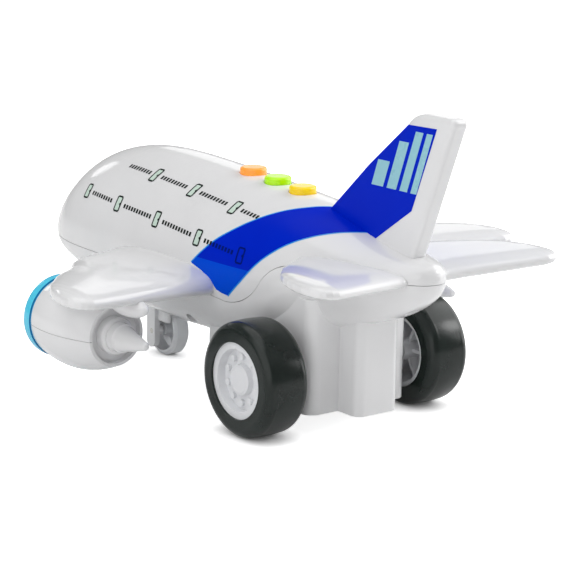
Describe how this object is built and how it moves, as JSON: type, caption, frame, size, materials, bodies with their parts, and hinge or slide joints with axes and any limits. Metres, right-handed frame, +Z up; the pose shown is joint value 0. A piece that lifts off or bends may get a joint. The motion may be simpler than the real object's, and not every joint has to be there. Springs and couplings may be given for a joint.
{
  "type": "toy airliner",
  "caption": "Toy airliner with friction-driven rear wheels, a nose wheel, two lit engines under the wings and push buttons on its back.",
  "frame": {"origin": "on the ground under the middle of the airplane, in its middle plane", "axes": "+X to the nose, +Y to the left wing tip, +Z up"},
  "size_m": [0.2606, 0.234, 0.1347],
  "materials": {
    "white_body": "moulded white ABS, polished mould",
    "clear_cyan": "tinted see-through polystyrene",
    "engine_grey": "moulded grey ABS",
    "led_clear": "clear epoxy",
    "tyre_rubber": "smooth satin synthetic rubber",
    "hub_grey": "moulded white ABS, fine mould texture",
    "axle_steel": "drawn and nickel plated steel",
    "gear_plastic": "moulded acetal",
    "motor_black": "moulded black ABS",
    "board_green": "solder mask over glass fibre",
    "cell_jacket": "shrunk plastic sleeve",
    "button_orange": "moulded orange plastic",
    "button_green": "moulded green plastic",
    "button_yellow": "moulded yellow plastic"
  },
  "bodies": {
    "airframe": {"fuselage_upper_shell": "white_body", "fuselage_lower_shell": "white_body", "battery_door": "white_body", "wing_left": "white_body", "wing_right": "white_body", "nacelle_lower_left": "white_body", "nacelle_lower_right": "white_body", "tailplane_left": "white_body", "tailplane_right": "white_body", "tail_fin": "white_body", "nose_gear_fork": "white_body", "intake_ring_left": "clear_cyan", "intake_ring_right": "clear_cyan", "engine_fan_left": "engine_grey", "engine_fan_right": "engine_grey", "engine_exhaust_left": "engine_grey", "engine_exhaust_right": "engine_grey", "engine_led_left": "led_clear", "engine_led_right": "led_clear", "nose_axle": "axle_steel", "body_screws": "axle_steel", "battery_door_screw": "axle_steel", "button_spring_orange": "axle_steel", "button_spring_green": "axle_steel", "button_spring_yellow": "axle_steel", "battery_contacts": "axle_steel", "motor_case_left": "motor_black", "motor_case_right": "motor_black", "battery_tray": "motor_black", "speaker": "motor_black", "button_switches": "motor_black", "circuit_board": "board_green", "batteries": "cell_jacket"},
    "rear_wheels": {"rear_axle": "axle_steel", "axle_gear": "gear_plastic", "rear_hub_left": "hub_grey", "rear_hub_right": "hub_grey", "rear_tyre_left": "tyre_rubber", "rear_tyre_right": "tyre_rubber"},
    "middle_gear": {"middle_gear": "gear_plastic"},
    "flywheel": {"flywheel": "axle_steel", "flywheel_shaft": "axle_steel", "flywheel_pinion": "gear_plastic"},
    "nose_wheel": {"nose_wheel": "hub_grey"},
    "button_orange": {"button_orange": "button_orange"},
    "button_green": {"button_green": "button_green"},
    "button_yellow": {"button_yellow": "button_yellow"}
  },
  "joints": [
    {"name": "rear_wheels_turn", "type": "hinge", "parent": "airframe", "child": "rear_wheels", "pos_m": [-0.05975, 0, 0.024], "axis": [0, 1, 0], "continuous": true},
    {"name": "middle_gear_turn", "type": "hinge", "parent": "airframe", "child": "middle_gear", "pos_m": [-0.04817, 0, 0.0299], "axis": [0, 1, 0], "continuous": true},
    {"name": "flywheel_turn", "type": "hinge", "parent": "airframe", "child": "flywheel", "pos_m": [-0.03595, 0, 0.03435], "axis": [0, 1, 0], "continuous": true},
    {"name": "nose_wheel_turn", "type": "hinge", "parent": "airframe", "child": "nose_wheel", "pos_m": [0.06325, 0, 0.012], "axis": [0, 1, 0], "continuous": true},
    {"name": "button_orange_push", "type": "slide", "parent": "airframe", "child": "button_orange", "axis": [0, 0, -1], "range_m": [0, 0.0015], "stiffness_N_per_m": 300, "springref_m": -0.001, "deforming": ["button_spring_orange"]},
    {"name": "button_green_push", "type": "slide", "parent": "airframe", "child": "button_green", "axis": [0, 0, -1], "range_m": [0, 0.0015], "stiffness_N_per_m": 300, "springref_m": -0.001, "deforming": ["button_spring_green"]},
    {"name": "button_yellow_push", "type": "slide", "parent": "airframe", "child": "button_yellow", "axis": [0, 0, -1], "range_m": [0, 0.0015], "stiffness_N_per_m": 300, "springref_m": -0.001, "deforming": ["button_spring_yellow"]}
  ],
  "couplings": [
    {"joint": "middle_gear_turn", "follows": "rear_wheels_turn", "ratio": -2.25},
    {"joint": "flywheel_turn", "follows": "rear_wheels_turn", "ratio": 5.0625}
  ]
}
